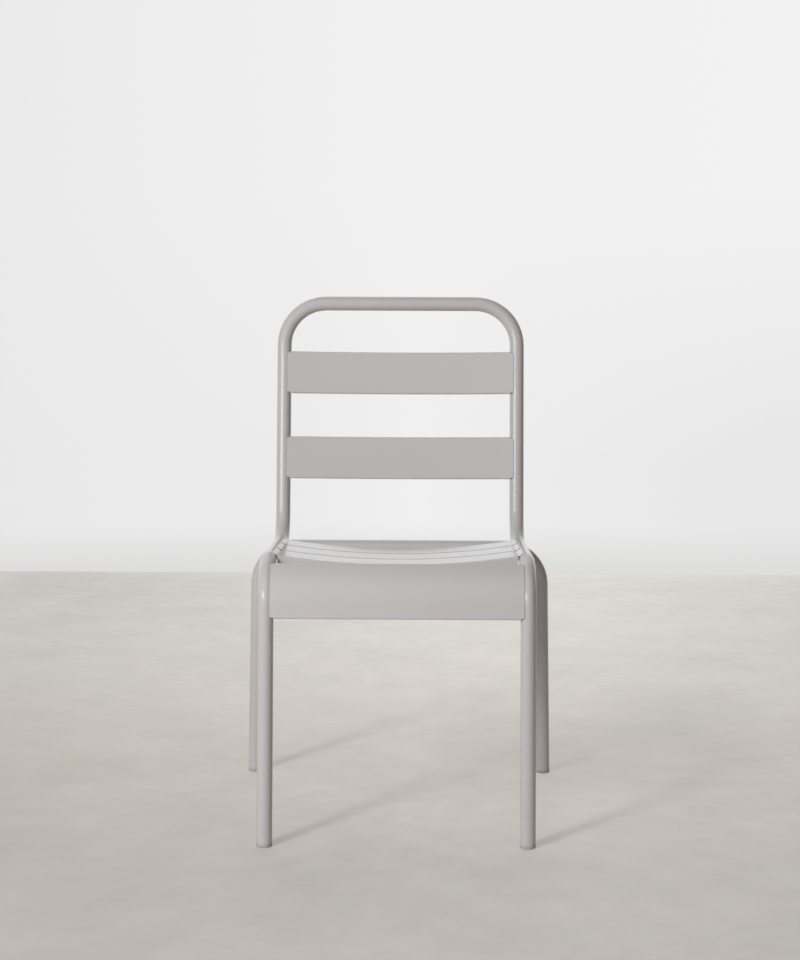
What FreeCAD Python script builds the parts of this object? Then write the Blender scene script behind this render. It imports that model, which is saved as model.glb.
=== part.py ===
import FreeCAD, Part
import math
import os

V = FreeCAD.Vector

# Lengths are in millimetres and angles in degrees. X runs across the chair, +Y to its back, +Z up.
# The chair is built with Y = 0 at the front corner of its side frames, and is moved at the end so
# that the middle of its footprint lies at the origin.

# Tube and sheet
tube_diameter = 25.0
tube_wall = 1.5
sheet_thickness = 1.2
sheet_bend_radius = 1.0         # inside of the turned edges
weld_gap = 0.1                  # between a piece and the tube that it is welded to

# Main frame: one tube, measured along its centre line before the corners are rounded
frame_width = 413.0             # between the two seat rails
overall_height = 850.0
front_corner_height = 445.5
seat_depth = 415.6              # from the front corner to the rear corner, level
seat_slope_angle = 3.55         # the rails fall to the back
front_leg_angle = 4.97
front_foot_spread = 1.45        # each front foot stands this much further out
back_recline_angle = 10.0
front_bend_radius = 65.0
rear_bend_radius = 65.0
top_bend_radius = 74.0
vent_hole_diameter = 4.0
vent_hole_offset = 88.0         # from the middle of the top bar, towards +X

# Rear leg arch: a tube like an upside-down U under the rear bends
rear_arch_overhang = 41.8       # how far its corners stand outside the frame's sides
rear_arch_advance = 10.8        # crossbar ahead of the rear corner
rear_leg_splay_angle = 1.41
rear_leg_lean_angle = 4.23
rear_arch_bend_radius = 66.0

# Seat slats: dished, with turned-down edges and ends pressed over the rails
seat_slat_names = ["front", "middle", "rear"]
seat_slat_gap = 10.0
seat_bend_clearance = 0.1       # between the slats' ends and the bends before and after them
seat_dish_radius = 1260.0
seat_slat_lip = 14.0            # depth of the turned-down edges
seat_end_bend_radius = 8.0      # where an end turns up to the rail
seat_wrap_start_angle = 45.0    # the end touches the rail from this angle off its crest
seat_wrap_end_angle = 26.0

# Back slats: dished, with turned-back edges
back_slat_names = ["lower", "upper"]
back_slat_width = 74.3
gap_under_back_slats = 53.9     # from the rear bend, along the straight part of the uprights
gap_between_back_slats = 77.0
gap_over_back_slats = 12.7      # to the top bend
back_dish_radius = 1386.0
back_slat_lip = 10.0
back_slat_overlap = 6.5         # how far an end reaches over the tube
back_slat_tab = 4.5             # the last part of an end, without turned edges

# Front apron: the deep front slat, which follows the front bends
apron_straight = 23.4           # its flat part below the bend
apron_wrap_angle = 55.0         # the part of the bend that it follows
apron_lip = 12.0
apron_overlap = 6.0

# Ends of the turned edges, and rounded corners
lip_end_clearance = 1.5         # between the end of a turned edge and the tube
lip_corner_radius = 3.0
tongue_corner_radius = 3.0

# Welds behind the ends of the slats
bead_radius = 2.4
bead_length = 20.0
bead_inset = 18.0               # from the edge of a slat to the middle of a bead
bead_advance_angle = 16.0       # angle around the tube from the slat's contact to the bead
bead_lift = 0.6                 # middle of a bead off the tube
apron_bead_share = 0.6          # place of the upper bead along the curved part of the apron
rear_weld_radius = 8.5

# Glides: plugs in the feet
glide_height = 6.0              # the part that shows under the tube
glide_edge_radius = 1.6
plug_length = 24.0
plug_clearance = 0.05           # between the ribs and the bore
plug_rib_depth = 0.8
plug_rib_width = 1.5
plug_rib_count = 4

tube_radius = tube_diameter / 2
bore_radius = tube_radius - tube_wall
seat_radius = tube_radius + weld_gap
sheet_outer_bend = sheet_bend_radius + sheet_thickness
half_width = frame_width / 2
lip_reach = half_width - tube_radius - lip_end_clearance


def sine(angle):
    return math.sin(math.radians(angle))


def cosine(angle):
    return math.cos(math.radians(angle))


def tangent(angle):
    return math.tan(math.radians(angle))


def mirrored(point):
    """The same point on the other side of the chair."""
    return V(-point.x, point.y, point.z)


# The corners of the right-hand side frame
front_corner = V(half_width, 0, front_corner_height)
front_foot = V(half_width + front_foot_spread, -front_corner_height * tangent(front_leg_angle), 0)
rear_corner = V(half_width, seat_depth, front_corner_height - seat_depth * tangent(seat_slope_angle))
upright_rise = overall_height - tube_radius - rear_corner.z
top_corner = rear_corner + V(0, upright_rise * tangent(back_recline_angle), upright_rise)

main_points = [front_foot, front_corner, rear_corner, top_corner]
main_points = [mirrored(point) for point in main_points] + main_points[::-1]
main_bends = [front_bend_radius, rear_bend_radius, top_bend_radius]
main_bends = main_bends + main_bends[::-1]

rail_direction = V(0, cosine(seat_slope_angle), -sine(seat_slope_angle))
rail_up = V(0, sine(seat_slope_angle), cosine(seat_slope_angle))
upright_direction = V(0, sine(back_recline_angle), cosine(back_recline_angle))
upright_front = V(0, -cosine(back_recline_angle), sine(back_recline_angle))


def bend_centre(before, corner, after, radius):
    """Centre of the arc that rounds a corner, and half of the corner's inner angle."""
    to_before = (before - corner).normalize()
    to_after = (after - corner).normalize()
    half_angle = to_before.getAngle(to_after) / 2
    middle = (to_before + to_after).normalize()
    return corner + middle * (radius / math.sin(half_angle)), half_angle


def centre_line(points, bends):
    """The edges of a line through the points, with its corners rounded."""
    edges = []
    here = points[0]
    for before, corner, after, radius in zip(points, points[1:], points[2:], bends):
        centre, half_angle = bend_centre(before, corner, after, radius)
        setback = radius / math.tan(half_angle)
        first = corner + (before - corner).normalize() * setback
        last = corner + (after - corner).normalize() * setback
        through = centre + (corner - centre).normalize() * radius
        edges.append(Part.makeLine(here, first))
        edges.append(Part.Arc(first, through, last).toShape())
        here = last
    edges.append(Part.makeLine(here, points[-1]))
    return edges


def round_bar(edge, radius):
    """A round bar along one straight or curved edge."""
    start = edge.valueAt(edge.FirstParameter)
    end = edge.valueAt(edge.LastParameter)
    direction = edge.tangentAt(edge.FirstParameter)
    face = Part.Face(Part.Wire(Part.makeCircle(radius, start, direction)))
    if isinstance(edge.Curve, Part.Line):
        return face.extrude(end - start)
    turn = math.degrees(edge.LastParameter - edge.FirstParameter)
    return face.revolve(edge.Curve.Center, edge.Curve.Axis, turn)


def joined(solids):
    """One solid from solids that meet."""
    return solids[0].multiFuse(solids[1:]).removeSplitter()


def bent_bar(points, bends, radius):
    return joined([round_bar(edge, radius) for edge in centre_line(points, bends)])


def below(height):
    """A block under the given height, larger than the chair."""
    reach = 2 * overall_height
    block = Part.makeBox(2 * reach, 2 * reach, reach)
    block.translate(V(-reach, -reach, height - reach))
    return block


def lengthened(points):
    """The points with both feet carried on below the floor, so that a level cut squares them off."""
    left = points[0] + (points[0] - points[1]).normalize() * tube_diameter
    right = points[-1] + (points[-1] - points[-2]).normalize() * tube_diameter
    return [left] + points[1:-1] + [right]


def outline(start, steps):
    """A flat face. A step is the end of a line, or the middle and the end of an arc, back to the start."""
    edges = []
    here = start
    for step in steps:
        if isinstance(step, tuple):
            edges.append(Part.Arc(here, step[0], step[1]).toShape())
            here = step[1]
        else:
            edges.append(Part.makeLine(here, step))
            here = step
    return Part.Face(Part.Wire(edges))


def rounded(solid, radius, wanted):
    """The solid with the edges that are wanted, by their middle and length, rounded."""
    edges = [edge for edge in solid.Edges if wanted(edge.CenterOfMass, edge.Length)]
    return solid.makeFillet(radius, edges)


def placed(shape, origin, along, outward):
    """The shape with its Y along a tube and its Z outward from it."""
    across = along.cross(outward)
    result = shape.copy()
    result.Placement = FreeCAD.Placement(origin, FreeCAD.Rotation(across, along, outward, "XYZ"))
    return result


# Sections of the slats. X runs across, Y along the tube, and Z outward from the tube's centre line.
# A dish has its centre outward of the slat.

def on_dish(centre, radius, angle):
    """A point of an arc whose centre lies outward of it."""
    return centre + V(radius * sine(angle), 0, -radius * cosine(angle))


def on_tube(radius, angle):
    """A point around the right-hand tube, at an angle from its crest towards the chair's middle."""
    return V(half_width - radius * sine(angle), 0, radius * cosine(angle))


def dish_arc(centre, radius, first, last):
    """The middle and the end of an arc of a dish."""
    return on_dish(centre, radius, (first + last) / 2), on_dish(centre, radius, last)


def tube_arc(radius, first, last):
    """The middle and the end of an arc around the tube."""
    return on_tube(radius, (first + last) / 2), on_tube(radius, last)


def turn(centre, radius, first, last):
    """The middle and the end of a quarter turn between two directions from its centre."""
    return centre + (first + last).normalize() * radius, centre + last * radius


def channel_face(width, lip, top):
    """Section across a slat at its middle: flat, with its two edges turned in."""
    outward = V(0, 0, 1)
    side = V(0, 1, 0)
    flat = width / 2 - sheet_outer_bend
    right = V(0, flat, top - sheet_outer_bend)
    left = V(0, -flat, top - sheet_outer_bend)
    drop = outward * (sheet_outer_bend - lip)
    steps = [
        right + outward * sheet_outer_bend,
        turn(right, sheet_outer_bend, outward, side),
        right + side * sheet_outer_bend + drop,
        right + side * sheet_bend_radius + drop,
        right + side * sheet_bend_radius,
        turn(right, sheet_bend_radius, side, outward),
        left + outward * sheet_bend_radius,
        turn(left, sheet_bend_radius, outward, side * -1),
        left - side * sheet_bend_radius + drop,
        left - side * sheet_outer_bend + drop,
        left - side * sheet_outer_bend,
        turn(left, sheet_outer_bend, side * -1, outward),
    ]
    return outline(left + outward * sheet_outer_bend, steps)


def as_long_as_sheet(length):
    """Whether an edge runs through the sheet, as at a corner of its outline."""
    return abs(length - sheet_thickness) < sheet_thickness / 100


def dished_channel(width, lip, centre, radius, reach):
    """The part of a slat with turned edges, which are cut back around the tubes."""
    top_radius = radius - sheet_thickness / 2
    face = channel_face(width, lip, centre.z - top_radius)
    axis = V(0, 1, 0)
    face.rotate(centre, axis, -reach)
    channel = face.revolve(centre, axis, 2 * reach)
    for side in (-1, 1):
        edge = V(half_width, side * (width / 2 - sheet_outer_bend), 0)
        bar = Part.makeCylinder(tube_radius + lip_end_clearance, tube_diameter, edge, axis * side)
        for room in both_sides(bar):
            channel = channel.cut(room)

    def lip_corner(middle, length):
        depth = math.hypot(middle.x - centre.x, middle.z - centre.z) - top_radius
        return as_long_as_sheet(length) and depth > lip - sheet_thickness

    return rounded(channel, lip_corner_radius, lip_corner)


def tongue(face, width, inner_end):
    """An end of a slat, from its section, with the two corners beyond its inner end rounded."""
    face.translate(V(0, -width / 2, 0))
    solid = face.extrude(V(0, width, 0))

    def outer_corner(middle, length):
        return as_long_as_sheet(length) and middle.x > inner_end and abs(middle.y) > width / 4

    return rounded(solid, tongue_corner_radius, outer_corner)


def both_sides(solid):
    return [solid, solid.mirror(V(0, 0, 0), V(1, 0, 0))]


def straight_part(index, corner):
    """How far from a corner a straight part of the frame's tube begins, and its length."""
    edge = centre_line(main_points[3:], main_bends[3:])[index]
    return (edge.valueAt(edge.LastParameter) - corner).Length, edge.Length


def seat_slat(width):
    """A seat slat about its own middle, with Z = 0 at the centre line of the rails."""
    wrap = seat_radius + sheet_thickness / 2
    bend = seat_end_bend_radius
    upturn = on_tube(wrap + bend, seat_wrap_start_angle)
    meet = math.degrees(math.asin(upturn.x / (seat_dish_radius - bend)))
    dish_centre = V(0, 0, upturn.z + (seat_dish_radius - bend) * cosine(meet))
    half = sheet_thickness / 2
    steps = [
        dish_arc(upturn, bend - half, meet, seat_wrap_start_angle),
        tube_arc(wrap + half, seat_wrap_start_angle, seat_wrap_end_angle),
        on_tube(wrap - half, seat_wrap_end_angle),
        tube_arc(wrap - half, seat_wrap_end_angle, seat_wrap_start_angle),
        dish_arc(upturn, bend + half, seat_wrap_start_angle, meet),
        on_dish(dish_centre, seat_dish_radius - half, meet),
    ]
    end = tongue(outline(steps[-1], steps), width - 2 * sheet_outer_bend, upturn.x)
    middle = dished_channel(width, seat_slat_lip, dish_centre, seat_dish_radius, meet)
    return joined([middle] + both_sides(end))


def contact_angle(overlap):
    """Angle from a tube's crest at which the end of a slat touches it."""
    return math.degrees(math.asin((tube_radius - overlap) / seat_radius))


def back_slat():
    """A back slat about its own middle, with Z = 0 at the centre line of the uprights."""
    corner = on_tube(seat_radius, contact_angle(back_slat_overlap))
    half = sheet_thickness / 2
    end_angle = math.degrees(math.asin(corner.x / (back_dish_radius + half)))
    dish_centre = V(0, 0, corner.z + (back_dish_radius + half) * cosine(end_angle))
    reach = math.degrees(math.asin((corner.x - back_slat_tab) / back_dish_radius))
    width = back_slat_width - 2 * sheet_outer_bend
    steps = [
        dish_arc(dish_centre, back_dish_radius - half, reach, end_angle),
        on_dish(dish_centre, back_dish_radius + half, end_angle),
        dish_arc(dish_centre, back_dish_radius + half, end_angle, reach),
        on_dish(dish_centre, back_dish_radius - half, reach),
    ]
    end = tongue(outline(steps[-1], steps), width, corner.x - back_slat_tab / 2)
    middle = dished_channel(back_slat_width, back_slat_lip, dish_centre, back_dish_radius, reach)
    return joined([middle] + both_sides(end))


def front_bend_centre():
    """Centre of the front bends in the side plane of the chair."""
    foot, corner, rear = [V(0, point.y, point.z) for point in (front_foot, front_corner, rear_corner)]
    return bend_centre(foot, corner, rear, front_bend_radius)[0]


def around_bend(radius, angle):
    """A point around the front bend, at an angle above the level towards the front."""
    return apron_centre + V(0, -radius * cosine(angle), radius * sine(angle))


def bend_arc(radius, first, last):
    """The middle and the end of an arc around the front bend."""
    return around_bend(radius, (first + last) / 2), around_bend(radius, last)


def apron_section(with_lips):
    """Side section of the apron, with or without its two turned edges."""
    back = front_bend_radius + seat_radius * cosine(contact_angle(apron_overlap))
    front = back + sheet_thickness
    bend = front - sheet_outer_bend
    last = front_leg_angle + apron_wrap_angle - math.degrees(math.asin(sheet_outer_bend / bend))
    forward = V(0, -cosine(front_leg_angle), sine(front_leg_angle))
    straight_down = leg_up * (sheet_outer_bend - apron_straight)
    upper = around_bend(bend, last)
    lower = around_bend(bend, front_leg_angle) + straight_down
    steps = [
        around_bend(front, front_leg_angle),
        bend_arc(front, front_leg_angle, last),
        around_bend(back, last),
        bend_arc(back, last, front_leg_angle),
        lower + forward * sheet_bend_radius,
        lower + forward * sheet_outer_bend,
    ]
    if with_lips:
        crest = V(0, -cosine(last), sine(last))
        lip_out = V(0, sine(front_leg_angle + apron_wrap_angle), cosine(front_leg_angle + apron_wrap_angle))
        run = apron_lip - sheet_outer_bend
        down_lip = V(0, lip_out.z, -lip_out.y) * run
        back_lip = forward * -run
        under = leg_up * -1
        steps[2:3] = [
            turn(upper, sheet_outer_bend, crest, lip_out),
            upper + lip_out * sheet_outer_bend + down_lip,
            upper + lip_out * sheet_bend_radius + down_lip,
            upper + lip_out * sheet_bend_radius,
            turn(upper, sheet_bend_radius, lip_out, crest),
        ]
        steps[-1:] = [
            turn(lower, sheet_bend_radius, forward, under),
            lower + under * sheet_bend_radius + back_lip,
            lower + under * sheet_outer_bend + back_lip,
            lower + under * sheet_outer_bend,
            turn(lower, sheet_outer_bend, under, forward),
        ]
    return outline(lower + forward * sheet_outer_bend, steps)


def front_apron():
    end_reach = half_width - tube_radius + apron_overlap
    middle = apron_section(True)
    middle.translate(V(-lip_reach, 0, 0))
    middle = middle.extrude(V(2 * lip_reach, 0, 0))
    end = apron_section(False)
    end.translate(V(lip_reach, 0, 0))
    end = end.extrude(V(end_reach - lip_reach, 0, 0))

    def lip_corner(centre, length):
        return as_long_as_sheet(length)

    def outer_corner(centre, length):
        return as_long_as_sheet(length) and centre.x > lip_reach

    middle = rounded(middle, lip_corner_radius, lip_corner)
    end = rounded(end, tongue_corner_radius, outer_corner)
    return joined([middle] + both_sides(end))


def rear_arch_points(crossbar_height):
    """The corners of the rear leg arch, foot to foot, for a height of its crossbar."""
    corner = V(half_width + rear_arch_overhang, rear_corner.y - rear_arch_advance, crossbar_height)
    spread = crossbar_height * tangent(rear_leg_splay_angle)
    foot = V(corner.x + spread, corner.y + crossbar_height * tangent(rear_leg_lean_angle), 0)
    return [mirrored(foot), mirrored(corner), corner, foot]


def settle_crossbar():
    """Height of the crossbar at which the arch rests against the frame's rear bends, and the place."""
    frame_line = Part.Wire(centre_line(main_points[4:], main_bends[4:]))
    low = rear_corner.z - 3 * tube_diameter
    high = rear_corner.z
    while high - low > weld_gap / 1000:
        middle = (low + high) / 2
        arch_line = Part.Wire(centre_line(rear_arch_points(middle)[1:], [rear_arch_bend_radius]))
        distance, pairs, _ = frame_line.distToShape(arch_line)
        if distance > tube_diameter + weld_gap:
            low = middle
        else:
            high = middle
    return low, (pairs[0][0] + pairs[0][1]) / 2


def bent_tube(bar, points, bends):
    """A tube from its outer bar, with its feet cut level above the glides."""
    return bar.cut(bent_bar(lengthened(points), bends, bore_radius)).cut(below(glide_height))


def vent_hole():
    """The drill that opens the underside of the top bar."""
    middle = V(vent_hole_offset, top_corner.y, top_corner.z)
    return Part.makeCylinder(vent_hole_diameter / 2, tube_diameter, middle, upright_direction * -1)


def glide(corner, foot):
    """A plug whose foot carries on the tube to the floor and whose ribbed stem grips the bore."""
    leg = (corner - foot).normalize()
    start = foot - leg * tube_diameter
    foot_bar = Part.makeCylinder(tube_radius, 2 * tube_diameter, start, leg)
    block = below(glide_height).cut(below(0))

    def floor_edge(middle, length):
        return middle.z < glide_edge_radius / 2

    cap = rounded(foot_bar.common(block), glide_edge_radius, floor_edge)
    rib_radius = bore_radius - plug_clearance
    core_radius = rib_radius - plug_rib_depth
    stem = Part.makeCylinder(core_radius, tube_diameter + glide_height + plug_length, start, leg)
    pieces = [cap, stem.cut(below(glide_height))]
    pitch = plug_length / plug_rib_count
    for count in range(plug_rib_count):
        height = glide_height + pitch * (count + 0.5)
        pieces.append(Part.makeCylinder(rib_radius, plug_rib_width, foot + leg * height, leg))
    return joined(pieces)


def bead(edge):
    """A weld bead with round ends, along a straight or curved edge."""
    ends = [edge.valueAt(edge.FirstParameter), edge.valueAt(edge.LastParameter)]
    return joined([round_bar(edge, bead_radius)] + [Part.makeSphere(bead_radius, end) for end in ends])


def trimmed(solid, others):
    """What is left of a solid outside the others, as its one largest piece."""
    for other in others:
        solid = solid.cut(other)
    return max(solid.Solids, key=lambda piece: piece.Volume)


def slat_beads(slat, width, angle):
    """The beads that hold the two ends of a slat, two at each end, at an angle around the tubes."""
    centre = on_tube(tube_radius + bead_lift, angle + bead_advance_angle)
    tube = Part.makeCylinder(tube_radius, width, V(half_width, -width / 2, 0), V(0, 1, 0))
    beads = []
    for side in (-1, 1):
        middle = side * (width / 2 - bead_inset)
        half = bead_length / 2 - bead_radius
        edge = Part.makeLine(centre + V(0, middle - half, 0), centre + V(0, middle + half, 0))
        beads += both_sides(trimmed(bead(edge), [tube, slat]))
    return Part.makeCompound(beads)


def apron_beads(apron):
    """The beads behind the ends of the apron, one on the straight leg and one on the bend at each end."""
    place = on_tube(tube_radius + bead_lift, contact_angle(apron_overlap) + bead_advance_angle)
    side = V(place.x, 0, 0)
    radius = front_bend_radius + place.z
    half = bead_length / 2 - bead_radius
    start = around_bend(radius, front_leg_angle) + side - leg_up * (apron_straight / 2)
    straight = Part.makeLine(start - leg_up * half, start + leg_up * half)
    middle = front_leg_angle + apron_wrap_angle * apron_bead_share
    sweep = math.degrees(half / radius)
    curved = Part.Arc(*[around_bend(radius, middle + step * sweep) + side for step in (-1, 0, 1)]).toShape()
    beads = []
    for edge in (straight, curved):
        beads += both_sides(trimmed(bead(edge), [main_bar, apron]))
    return Part.makeCompound(beads)


def rear_arch_welds(place):
    """The fillet around each place where the arch meets the frame."""
    ball = Part.makeSphere(rear_weld_radius, place)
    return Part.makeCompound(both_sides(trimmed(ball, [main_bar, arch_bar])))


leg_up = V(0, sine(front_leg_angle), cosine(front_leg_angle))
apron_centre = front_bend_centre()
crossbar_height, rear_contact = settle_crossbar()
arch_points = rear_arch_points(crossbar_height)
arch_bends = [rear_arch_bend_radius, rear_arch_bend_radius]
main_bar = bent_bar(lengthened(main_points), main_bends, tube_radius)
arch_bar = bent_bar(lengthened(arch_points), arch_bends, tube_radius)

pieces = {
    "main_frame": bent_tube(main_bar, main_points, main_bends).cut(vent_hole()),
    "rear_leg_arch": bent_tube(arch_bar, arch_points, arch_bends),
    "front_apron": front_apron(),
}

# The ends of the seat slats fill the straight part of the rails
rail_start, rail_length = straight_part(4, front_corner)
ends_length = rail_length - 2 * seat_bend_clearance
seat_slat_count = len(seat_slat_names)
seat_slat_space = ends_length + 2 * sheet_outer_bend + seat_slat_gap
seat_slat_pitch = seat_slat_space / seat_slat_count
seat_slat_width = seat_slat_pitch - seat_slat_gap
seat_slat_start = rail_start + seat_bend_clearance - sheet_outer_bend + seat_slat_width / 2
plain_seat_slat = seat_slat(seat_slat_width)
plain_seat_beads = slat_beads(plain_seat_slat, seat_slat_width, seat_wrap_start_angle)
for count, name in enumerate(seat_slat_names):
    origin = V(0, front_corner.y, front_corner.z)
    origin += rail_direction * (seat_slat_start + count * seat_slat_pitch)
    pieces["seat_slat_" + name] = placed(plain_seat_slat, origin, rail_direction, rail_up)
    pieces["seat_slat_" + name + "_welds"] = placed(plain_seat_beads, origin, rail_direction, rail_up)

# The back slats and the gaps around them fill the straight part of the uprights, in proportion
upright_start, upright_length = straight_part(2, rear_corner)
back_slat_count = len(back_slat_names)
drawn_gaps = gap_under_back_slats + (back_slat_count - 1) * gap_between_back_slats + gap_over_back_slats
gap_scale = (upright_length - back_slat_count * back_slat_width) / drawn_gaps
lower_back_slat_rise = upright_start + gap_under_back_slats * gap_scale + back_slat_width / 2
back_slat_pitch = back_slat_width + gap_between_back_slats * gap_scale
plain_back_slat = back_slat()
plain_back_beads = slat_beads(plain_back_slat, back_slat_width, contact_angle(back_slat_overlap))
for count, name in enumerate(back_slat_names):
    origin = V(0, rear_corner.y, rear_corner.z)
    origin += upright_direction * (lower_back_slat_rise + count * back_slat_pitch)
    pieces["back_slat_" + name] = placed(plain_back_slat, origin, upright_direction, upright_front)
    beads = placed(plain_back_beads, origin, upright_direction, upright_front)
    pieces["back_slat_" + name + "_welds"] = beads

pieces["front_apron_welds"] = apron_beads(pieces["front_apron"])
pieces["rear_arch_welds"] = rear_arch_welds(rear_contact)

legs = {
    "front_left": (main_points[1], main_points[0]),
    "front_right": (main_points[-2], main_points[-1]),
    "rear_left": (arch_points[1], arch_points[0]),
    "rear_right": (arch_points[-2], arch_points[-1]),
}
for name, (corner, foot) in legs.items():
    pieces["glide_" + name] = glide(corner, foot)

# The footprint reaches from the front feet to the back of the top bar, or of the rear feet
front_reach = front_foot.y - tube_radius / cosine(front_leg_angle)
back_reach = max(top_corner.y + tube_radius, arch_points[-1].y + tube_radius / cosine(rear_leg_lean_angle))
to_origin = V(0, -(front_reach + back_reach) / 2, 0)

os.makedirs("parts", exist_ok=True)
for name, shape in pieces.items():
    shape.translate(to_origin)
    shape.exportStep(os.path.join("parts", name + ".step"))
print("origin moved by", to_origin, "crossbar height", crossbar_height)
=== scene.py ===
import math

import bpy
from mathutils import Matrix, Vector

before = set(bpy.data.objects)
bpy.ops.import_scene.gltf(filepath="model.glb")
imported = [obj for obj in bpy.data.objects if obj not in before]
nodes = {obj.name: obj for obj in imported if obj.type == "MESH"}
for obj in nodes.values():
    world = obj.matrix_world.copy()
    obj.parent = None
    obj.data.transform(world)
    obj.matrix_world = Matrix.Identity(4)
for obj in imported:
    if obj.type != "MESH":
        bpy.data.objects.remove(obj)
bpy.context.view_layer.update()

# Lengths are in metres. X runs across the chair, -Y to its front, +Z up.
# A noise's scale is in waves per metre. Levels are what a colour is multiplied by, darkest first.

# The photographer's camera
camera_place = (0.0329, -3.4884, 0.9559)
camera_pitch = math.radians(83.398)     # from looking straight down
camera_yaw = math.radians(0.510)        # towards -X
camera_roll = math.radians(0.219)
camera_reach = 100.0                    # how far it sees
focal_pixels = 2100.0
photo_height = 960.0
sensor_size = 36.0                      # in millimetres, along the photograph's longer side

# The backdrop. Its places are directions: 0.1 is about 6 degrees off the middle or the horizon.
# Shading across a width is stops of a place, from 0 at the left to 1 at the right, and a level.
backdrop_half_width = 0.20              # its shading runs this far to each side
backdrop_across = [(0.0, 0.822), (0.45, 0.873), (1.0, 0.887)]
backdrop_low_across = [(0.0, 0.810), (0.36, 0.832), (0.5, 0.872), (0.62, 0.838), (1.0, 0.785)]
backdrop_rise = (-0.105, 0.02)          # over these heights the low shading turns into the other
backdrop_foot = (-0.159, -0.136)        # and over these the foot's colour ends
backdrop_foot_colour = (0.715, 0.712, 0.708)

# The room's soft light, from its four sides
front_light = (0.45, 0.45, 0.45)
back_light = (1.35, 1.35, 1.35)
left_light = (0.04, 0.04, 0.04)
right_light = (0.115, 0.070, 0.045)
side_start = 0.3                        # a side's light begins in this direction
side_full = 0.6                         # and is full in this one

# Two softboxes in front, to the left: the key is narrow and high, and gives the shadows,
# and the sheen softbox is wide and low, and gives the highlights on the tubes
lamp_target = (0.0, 0.0, 0.57)
key_place = (-1.94, -2.71, 2.36)
key_size = (0.50, 1.50)                 # width and height
key_power = 88.0
sheen_place = (-2.05, -2.62, 1.40)
sheen_size = (2.1, 0.74)
sheen_power = 32.0

# The floor
floor_end = 2.45                        # where it meets the backdrop, behind the chair
floor_reach = 7.0                       # how far it runs to the front and to each side
floor_near_end = -1.2                   # its tones run from here to its end
floor_half_width = 1.2                  # its shading runs this far to each side
floor_tones_and_painted_falloff = [                         # the concrete's colour, painted darker towards the camera as painted shade of the lamps' falloff; from 0 at its near end to 1 at the backdrop
    (0.0, (0.570, 0.542, 0.527)),
    (0.22, (0.616, 0.585, 0.559)),
    (0.40, (0.727, 0.680, 0.636)),
    (0.60, (0.883, 0.842, 0.790)),
    (0.75, (0.932, 0.890, 0.842)),
    (0.955, (0.960, 0.918, 0.873)),
    (1.0, (1.0, 0.974, 0.948)),
]
# levels across the floor, from 0 at the left to 1 at the right: darker towards its sides
floor_across = [
    (0.0, 0.82), (0.15, 0.84), (0.30, 0.915), (0.52, 1.02), (0.66, 1.05), (0.85, 0.98), (1.0, 0.94),
]
floor_clouds = {"scale": 4.5, "detail": 6.0, "roughness": 0.62}
floor_cloud_levels = (0.925, 1.06)
floor_patches = {"scale": 19.0, "detail": 6.0, "roughness": 0.68}
floor_patch_levels = (0.950, 1.045)
floor_stains = {"scale": 14.0, "detail": 6.0, "roughness": 0.65}
floor_cool_stain = (0.990, 1.0, 1.016)
floor_warm_stain = (1.010, 1.0, 0.984)
floor_polish = {"scale": 6.0, "detail": 4.0}        # more and less polished places
floor_roughness = (0.62, 0.78)
floor_specular_level = 0.3
floor_grain = {"scale": 120.0, "detail": 4.0}
floor_grain_strength = 0.15
floor_grain_depth = 0.001
floor_bounce_tint = (0.99, 0.945, 0.90)     # on the colour that the lamps light
floor_shown_tint = (0.985, 1.01, 1.02)      # on the even tone
floor_glow_and_painted_falloff = [(0.0, 0.9), (1.0, 1.0)]       # the even tone's strength, from near to far: weaker near the camera, as painted shade
floor_even_share = 0.53                     # the even tone's part in what the camera sees
floor_outer_even_share = 0.95               # the same on the floor behind the softboxes
floor_even_change = (-2.8, -1.2)            # in Y, from the outer share to the other

# The powder coat
paint_colour = (0.494, 0.478, 0.482)
# The one coat is painted a little darker on the tubes, as painted shade, and lighter on the sheet
# parts, as painted light
tube_painted_shade = 0.985
sheet_painted_light = 1.03
weld_tone = 1.0
paint_clouds = {"scale": 9.0, "detail": 3.0}
paint_cloud_levels = (0.985, 1.015)
paint_satin = {"scale": 45.0, "detail": 3.0}        # more and less glossy places
paint_roughness = (0.280, 0.302)
paint_specular_level = 0.13
coat_roughness = 0.19
orange_peel = {"scale": 420.0, "detail": 2.0}
orange_peel_depth = 0.0001
peel_strength = 0.10
weld_peel_strength = 0.16
powder_grain = {"scale": 2600.0, "detail": 1.0}
powder_grain_depth = 0.00003
powder_grain_share = 0.5                # of the orange peel's strength
weld_lumps = {"scale": 380.0, "detail": 1.0}
weld_lump_depth = 0.0008
weld_lump_strength = 0.5

# The glides' plastic
plastic_colour = (0.400, 0.384, 0.372)
plastic_clouds = {"scale": 60.0, "detail": 2.0}
plastic_cloud_levels = (0.95, 1.04)
plastic_wear = {"scale": 300.0, "detail": 2.0}
plastic_roughness = (0.52, 0.62)
plastic_grain = {"scale": 1800.0, "detail": 2.0}
plastic_grain_strength = 0.12
plastic_grain_depth = 0.0002

from_none_to_all = (0.0, 1.0)
noise_range = (0.2, 0.8)                # where a noise's values lie


# Nodes of a material or of the world

def new_material(name):
    material = bpy.data.materials.new(name)
    material.use_nodes = True
    tree = material.node_tree
    tree.nodes.clear()
    output = tree.nodes.new("ShaderNodeOutputMaterial")
    shader = tree.nodes.new("ShaderNodeBsdfPrincipled")
    tree.links.new(shader.outputs["BSDF"], output.inputs["Surface"])
    return material, tree, shader


def object_coordinates(tree):
    return tree.nodes.new("ShaderNodeTexCoord").outputs["Object"]


def noise(tree, scale, detail, roughness=0.5):
    """Noise over the object's own coordinates."""
    texture = tree.nodes.new("ShaderNodeTexNoise")
    texture.inputs["Scale"].default_value = scale
    texture.inputs["Detail"].default_value = detail
    texture.inputs["Roughness"].default_value = roughness
    tree.links.new(object_coordinates(tree), texture.inputs["Vector"])
    return texture.outputs["Fac"]


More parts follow.
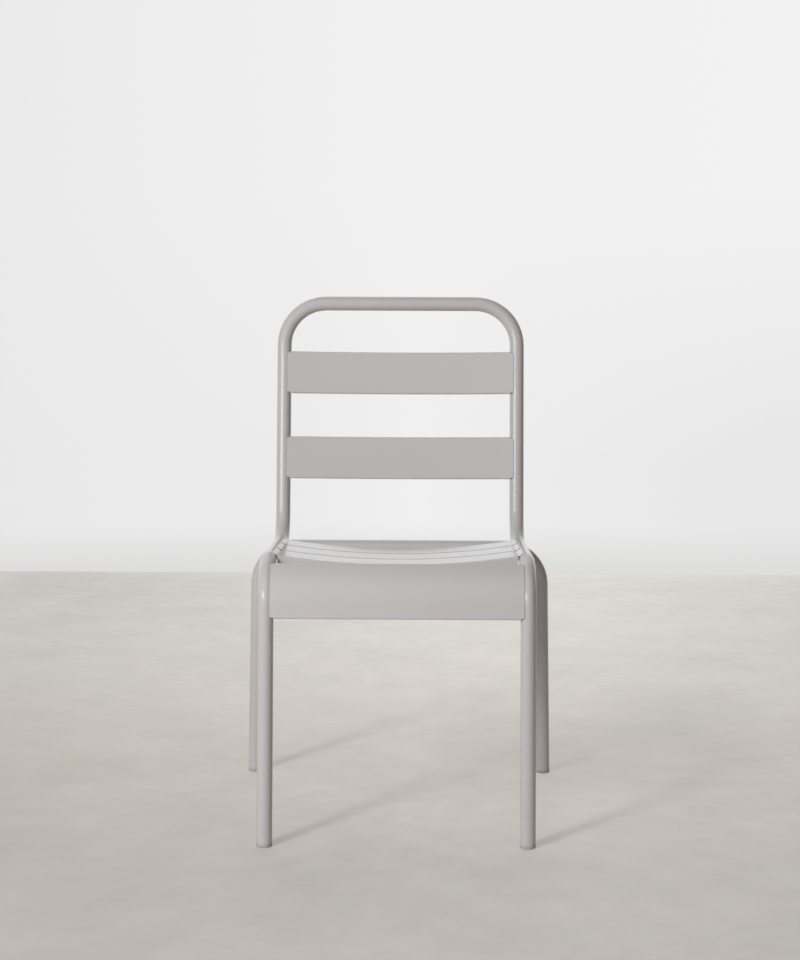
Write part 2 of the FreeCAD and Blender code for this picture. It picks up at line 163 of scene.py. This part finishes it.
def spread(tree, value, target, source=noise_range):
    """The value carried from its source range onto the target range."""
    node = tree.nodes.new("ShaderNodeMapRange")
    node.inputs["From Min"].default_value, node.inputs["From Max"].default_value = source
    node.inputs["To Min"].default_value, node.inputs["To Max"].default_value = target
    tree.links.new(value, node.inputs["Value"])
    return node.outputs["Result"]


def combine(tree, operation, first, second):
    """One number from two."""
    node = tree.nodes.new("ShaderNodeMath")
    node.operation = operation
    tree.links.new(first, node.inputs[0])
    tree.links.new(second, node.inputs[1])
    return node.outputs["Value"]


def scaled(tree, colour, level):
    """The colour times a level."""
    node = tree.nodes.new("ShaderNodeVectorMath")
    node.operation = "SCALE"
    tree.links.new(colour, node.inputs[0])
    tree.links.new(level, node.inputs["Scale"])
    return node.outputs["Vector"]


def tinted(tree, colour, tint):
    """The colour times a tint, which is a tuple or a socket."""
    node = tree.nodes.new("ShaderNodeVectorMath")
    node.operation = "MULTIPLY"
    tree.links.new(colour, node.inputs[0])
    if isinstance(tint, tuple):
        node.inputs[1].default_value = tint
    else:
        tree.links.new(tint, node.inputs[1])
    return node.outputs["Vector"]


def blend_colours(tree, share, first, second):
    """A mix of two colours; each is a tuple or a socket."""
    node = tree.nodes.new("ShaderNodeMix")
    node.data_type = "RGBA"
    tree.links.new(share, node.inputs["Factor"])
    for colour, name in ((first, "A"), (second, "B")):
        socket = [s for s in node.inputs if s.name == name and s.type == "RGBA"][0]
        if isinstance(colour, tuple):
            socket.default_value = (*colour, 1.0)
        else:
            tree.links.new(colour, socket)
    return [s for s in node.outputs if s.type == "RGBA"][0]


def blend_shaders(tree, share, first, second):
    node = tree.nodes.new("ShaderNodeMixShader")
    tree.links.new(share, node.inputs["Fac"])
    tree.links.new(first, node.inputs[1])
    tree.links.new(second, node.inputs[2])
    return node.outputs["Shader"]


def grey(level):
    return (level, level, level)


def shade(colour, level):
    return tuple(channel * level for channel in colour)


def ramp(tree, value, stops):
    """The value looked up between stops of a place from 0 to 1 and a colour or a level."""
    node = tree.nodes.new("ShaderNodeValToRGB")
    elements = node.color_ramp.elements
    for count, (position, colour) in enumerate(stops):
        stop = elements[count] if count < 2 else elements.new(position)
        stop.position = position
        stop.color = (*(colour if isinstance(colour, tuple) else grey(colour)), 1.0)
    tree.links.new(value, node.inputs["Fac"])
    return node.outputs["Color"]


def bump(tree, height, strength, depth, under=None):
    """The surface's bumps; under is a coarser set that they lie on."""
    node = tree.nodes.new("ShaderNodeBump")
    node.inputs["Strength"].default_value = strength
    node.inputs["Distance"].default_value = depth
    tree.links.new(height, node.inputs["Height"])
    if under:
        tree.links.new(under, node.inputs["Normal"])
    return node.outputs["Normal"]


def cloudy(tree, colour, clouds, levels):
    """The colour, a little darker and lighter in soft clouds."""
    share = spread(tree, noise(tree, **clouds), from_none_to_all)
    return blend_colours(tree, share, *(shade(colour, level) for level in levels))


def seen_or_reflected(tree, share=None):
    """1 for the camera's rays, and for glossy and transmission rays 1, or the share."""
    path = tree.nodes.new("ShaderNodeLightPath")
    seen = path.outputs["Is Camera Ray"]
    for kind in ("Is Glossy Ray", "Is Transmission Ray"):
        reflected = path.outputs[kind]
        if share:
            reflected = combine(tree, "MULTIPLY", reflected, share)
        seen = combine(tree, "MAXIMUM", seen, reflected)
    return seen


# The chair's finishes

def powder_coat(name, tone, waviness, lumps=0.0):
    """Satin powder coat: a cloudy base under a smooth coat, with the fine waviness of baked powder.

    On a weld it also covers the bead's lumps.
    """
    material, tree, shader = new_material(name)
    # tone lightens or darkens the coat, as painted light or shade
    colour = cloudy(tree, shade(paint_colour, tone), paint_clouds, paint_cloud_levels)
    tree.links.new(colour, shader.inputs["Base Color"])
    satin = spread(tree, noise(tree, **paint_satin), paint_roughness)
    tree.links.new(satin, shader.inputs["Roughness"])
    surface = bump(tree, noise(tree, **weld_lumps), lumps, weld_lump_depth) if lumps else None
    surface = bump(tree, noise(tree, **orange_peel), waviness, orange_peel_depth, surface)
    surface = bump(tree, noise(tree, **powder_grain), waviness * powder_grain_share,
                   powder_grain_depth, surface)
    tree.links.new(surface, shader.inputs["Normal"])
    tree.links.new(surface, shader.inputs["Coat Normal"])
    shader.inputs["Specular IOR Level"].default_value = paint_specular_level
    shader.inputs["Coat Weight"].default_value = 1.0
    shader.inputs["Coat Roughness"].default_value = coat_roughness
    return material


def moulded_plastic(name):
    """The glides: dull moulded plastic with a fine spark-eroded grain."""
    material, tree, shader = new_material(name)
    colour = cloudy(tree, plastic_colour, plastic_clouds, plastic_cloud_levels)
    tree.links.new(colour, shader.inputs["Base Color"])
    wear = spread(tree, noise(tree, **plastic_wear), plastic_roughness)
    tree.links.new(wear, shader.inputs["Roughness"])
    grain = bump(tree, noise(tree, **plastic_grain), plastic_grain_strength, plastic_grain_depth)
    tree.links.new(grain, shader.inputs["Normal"])
    return material


def dress(object_name, material):
    """Gives one CAD node its finish."""
    data = nodes[object_name].data
    data.materials.clear()
    data.materials.append(material)


# Tube and sheet parts get the same coat at different levels: painted shade and painted light
tube_paint = powder_coat("tube_paint", tube_painted_shade, peel_strength)
sheet_paint = powder_coat("sheet_paint", sheet_painted_light, peel_strength)
weld_paint = powder_coat("weld_paint", weld_tone, weld_peel_strength, weld_lump_strength)
glide_plastic = moulded_plastic("glide_plastic")
for name in nodes:
    if name.startswith("glide"):
        dress(name, glide_plastic)
    elif name.endswith("_welds"):
        dress(name, weld_paint)
    elif name in ("main_frame", "rear_leg_arch"):
        dress(name, tube_paint)
    else:
        dress(name, sheet_paint)


# The studio

def concrete(name):
    """The studio floor: pale, cloudy, troweled concrete.

    The camera and the reflections see a blend of its own even tone and of the same tone lit by
    the lamps, which carries the chair's shadow. All other rays see only what the lamps light.
    Its tone is painted darker towards the camera, as painted shade, and is darker towards its
    sides.
    """
    material, tree, shader = new_material(name)
    place = tree.nodes.new("ShaderNodeSeparateXYZ")
    tree.links.new(object_coordinates(tree), place.inputs["Vector"])
    across = spread(tree, place.outputs["X"], from_none_to_all,
                    (-floor_half_width, floor_half_width))
    away = spread(tree, place.outputs["Y"], from_none_to_all, (floor_near_end, floor_end))

    patches = spread(tree, noise(tree, **floor_patches), floor_patch_levels)
    # The clouds and patches, with the floor darker towards its sides
    mottle_and_side_darkening = combine(tree, "MULTIPLY", patches, ramp(tree, across, floor_across))
    clouds = spread(tree, noise(tree, **floor_clouds), floor_cloud_levels)
    mottle_and_side_darkening = combine(tree, "MULTIPLY", clouds, mottle_and_side_darkening)
    stains = spread(tree, noise(tree, **floor_stains), from_none_to_all)
    stains = blend_colours(tree, stains, floor_cool_stain, floor_warm_stain)
    # The concrete's colour, painted darker towards the camera as painted shade
    tone = scaled(tree, tinted(tree, ramp(tree, away, floor_tones_and_painted_falloff), stains), mottle_and_side_darkening)

    tree.links.new(tinted(tree, tone, floor_bounce_tint), shader.inputs["Base Color"])
    polish = spread(tree, noise(tree, **floor_polish), floor_roughness)
    tree.links.new(polish, shader.inputs["Roughness"])
    grain = bump(tree, noise(tree, **floor_grain), floor_grain_strength, floor_grain_depth)
    tree.links.new(grain, shader.inputs["Normal"])
    shader.inputs["Specular IOR Level"].default_value = floor_specular_level

    shown = tree.nodes.new("ShaderNodeEmission")
    tree.links.new(tinted(tree, tone, floor_shown_tint), shown.inputs["Color"])
    # The glow is weaker near the camera, as painted shade
    tree.links.new(ramp(tree, away, floor_glow_and_painted_falloff), shown.inputs["Strength"])
    even_share = spread(tree, place.outputs["Y"], (floor_outer_even_share, floor_even_share),
                        floor_even_change)
    even_share = combine(tree, "MULTIPLY", seen_or_reflected(tree), even_share)
    surface = blend_shaders(tree, even_share, shader.outputs["BSDF"], shown.outputs["Emission"])
    tree.links.new(surface, tree.get_output_node("ALL").inputs["Surface"])
    return material


def make_floor():
    bpy.ops.object.select_all(action="DESELECT")
    bpy.ops.mesh.primitive_plane_add(size=1.0, location=(0, 0, 0))
    floor = bpy.context.object
    floor.name = "studio_floor"
    length = floor_end + floor_reach
    floor.data.transform(Matrix.Diagonal((2 * floor_reach, length, 1.0, 1.0)))
    floor.data.transform(Matrix.Translation((0, floor_end - length / 2, 0)))
    floor.data.materials.append(concrete("studio_concrete"))


def background(tree, colour):
    node = tree.nodes.new("ShaderNodeBackground")
    tree.links.new(colour, node.inputs["Color"])
    return node.outputs["Background"]


def make_world():
    """The room's soft light, and the backdrop.

    The camera sees the backdrop all round. Reflections see it in the directions behind the chair,
    and the room's light in the others, which keeps the tubes' edges dark.
    """
    world = bpy.data.worlds.new("studio")
    bpy.context.scene.world = world
    world.use_nodes = True
    tree = world.node_tree
    tree.nodes.clear()
    output = tree.nodes.new("ShaderNodeOutputWorld")
    direction = tree.nodes.new("ShaderNodeSeparateXYZ")
    generated = tree.nodes.new("ShaderNodeTexCoord").outputs["Generated"]
    tree.links.new(generated, direction.inputs["Vector"])

    def towards(axis, side):
        """1 in the directions on that side of the chair, 0 in the others."""
        window = (side * side_start, side * side_full)
        return spread(tree, direction.outputs[axis], from_none_to_all, window)

    behind = towards("Y", 1)
    light = blend_colours(tree, towards("Y", -1), left_light, front_light)
    light = blend_colours(tree, behind, light, back_light)
    light = blend_colours(tree, towards("X", -1), light, left_light)
    light = blend_colours(tree, towards("X", 1), light, right_light)

    across = spread(tree, direction.outputs["X"], from_none_to_all,
                    (-backdrop_half_width, backdrop_half_width))
    height = spread(tree, direction.outputs["Z"], from_none_to_all, backdrop_rise)
    backdrop = blend_colours(tree, height, ramp(tree, across, backdrop_low_across),
                             ramp(tree, across, backdrop_across))
    above_foot = spread(tree, direction.outputs["Z"], from_none_to_all, backdrop_foot)
    backdrop = blend_colours(tree, above_foot, backdrop_foot_colour, backdrop)

    surface = blend_shaders(tree, seen_or_reflected(tree, behind), background(tree, light),
                            background(tree, backdrop))
    tree.links.new(surface, output.inputs["Surface"])


def add_softbox(name, place, size, power):
    """A rectangular lamp, turned to the chair."""
    lamp = bpy.data.lights.new(name, "AREA")
    lamp.shape = "RECTANGLE"
    lamp.size, lamp.size_y = size
    lamp.energy = power
    holder = bpy.data.objects.new(name, lamp)
    bpy.context.scene.collection.objects.link(holder)
    holder.location = place
    to_chair = Vector(lamp_target) - Vector(place)
    holder.rotation_euler = to_chair.to_track_quat("-Z", "Y").to_euler()
    return holder


def make_camera():
    data = bpy.data.cameras.new("photo_camera")
    data.sensor_fit = "AUTO"
    data.sensor_width = sensor_size
    data.lens = focal_pixels / photo_height * sensor_size
    data.clip_end = camera_reach
    camera = bpy.data.objects.new("photo_camera", data)
    bpy.context.scene.collection.objects.link(camera)
    turned = Matrix.Rotation(camera_yaw, 4, "Z") @ Matrix.Rotation(camera_pitch, 4, "X")
    turned = turned @ Matrix.Rotation(camera_roll, 4, "Z")
    camera.matrix_world = Matrix.Translation(camera_place) @ turned
    bpy.context.scene.camera = camera


make_floor()
make_world()
key_softbox = add_softbox("key_softbox", key_place, key_size, key_power)
key_softbox.visible_glossy = False      # so that it adds no second highlight to the tubes
add_softbox("sheen_softbox", sheen_place, sheen_size, sheen_power)
make_camera()
bpy.context.scene.view_settings.view_transform = "Standard"
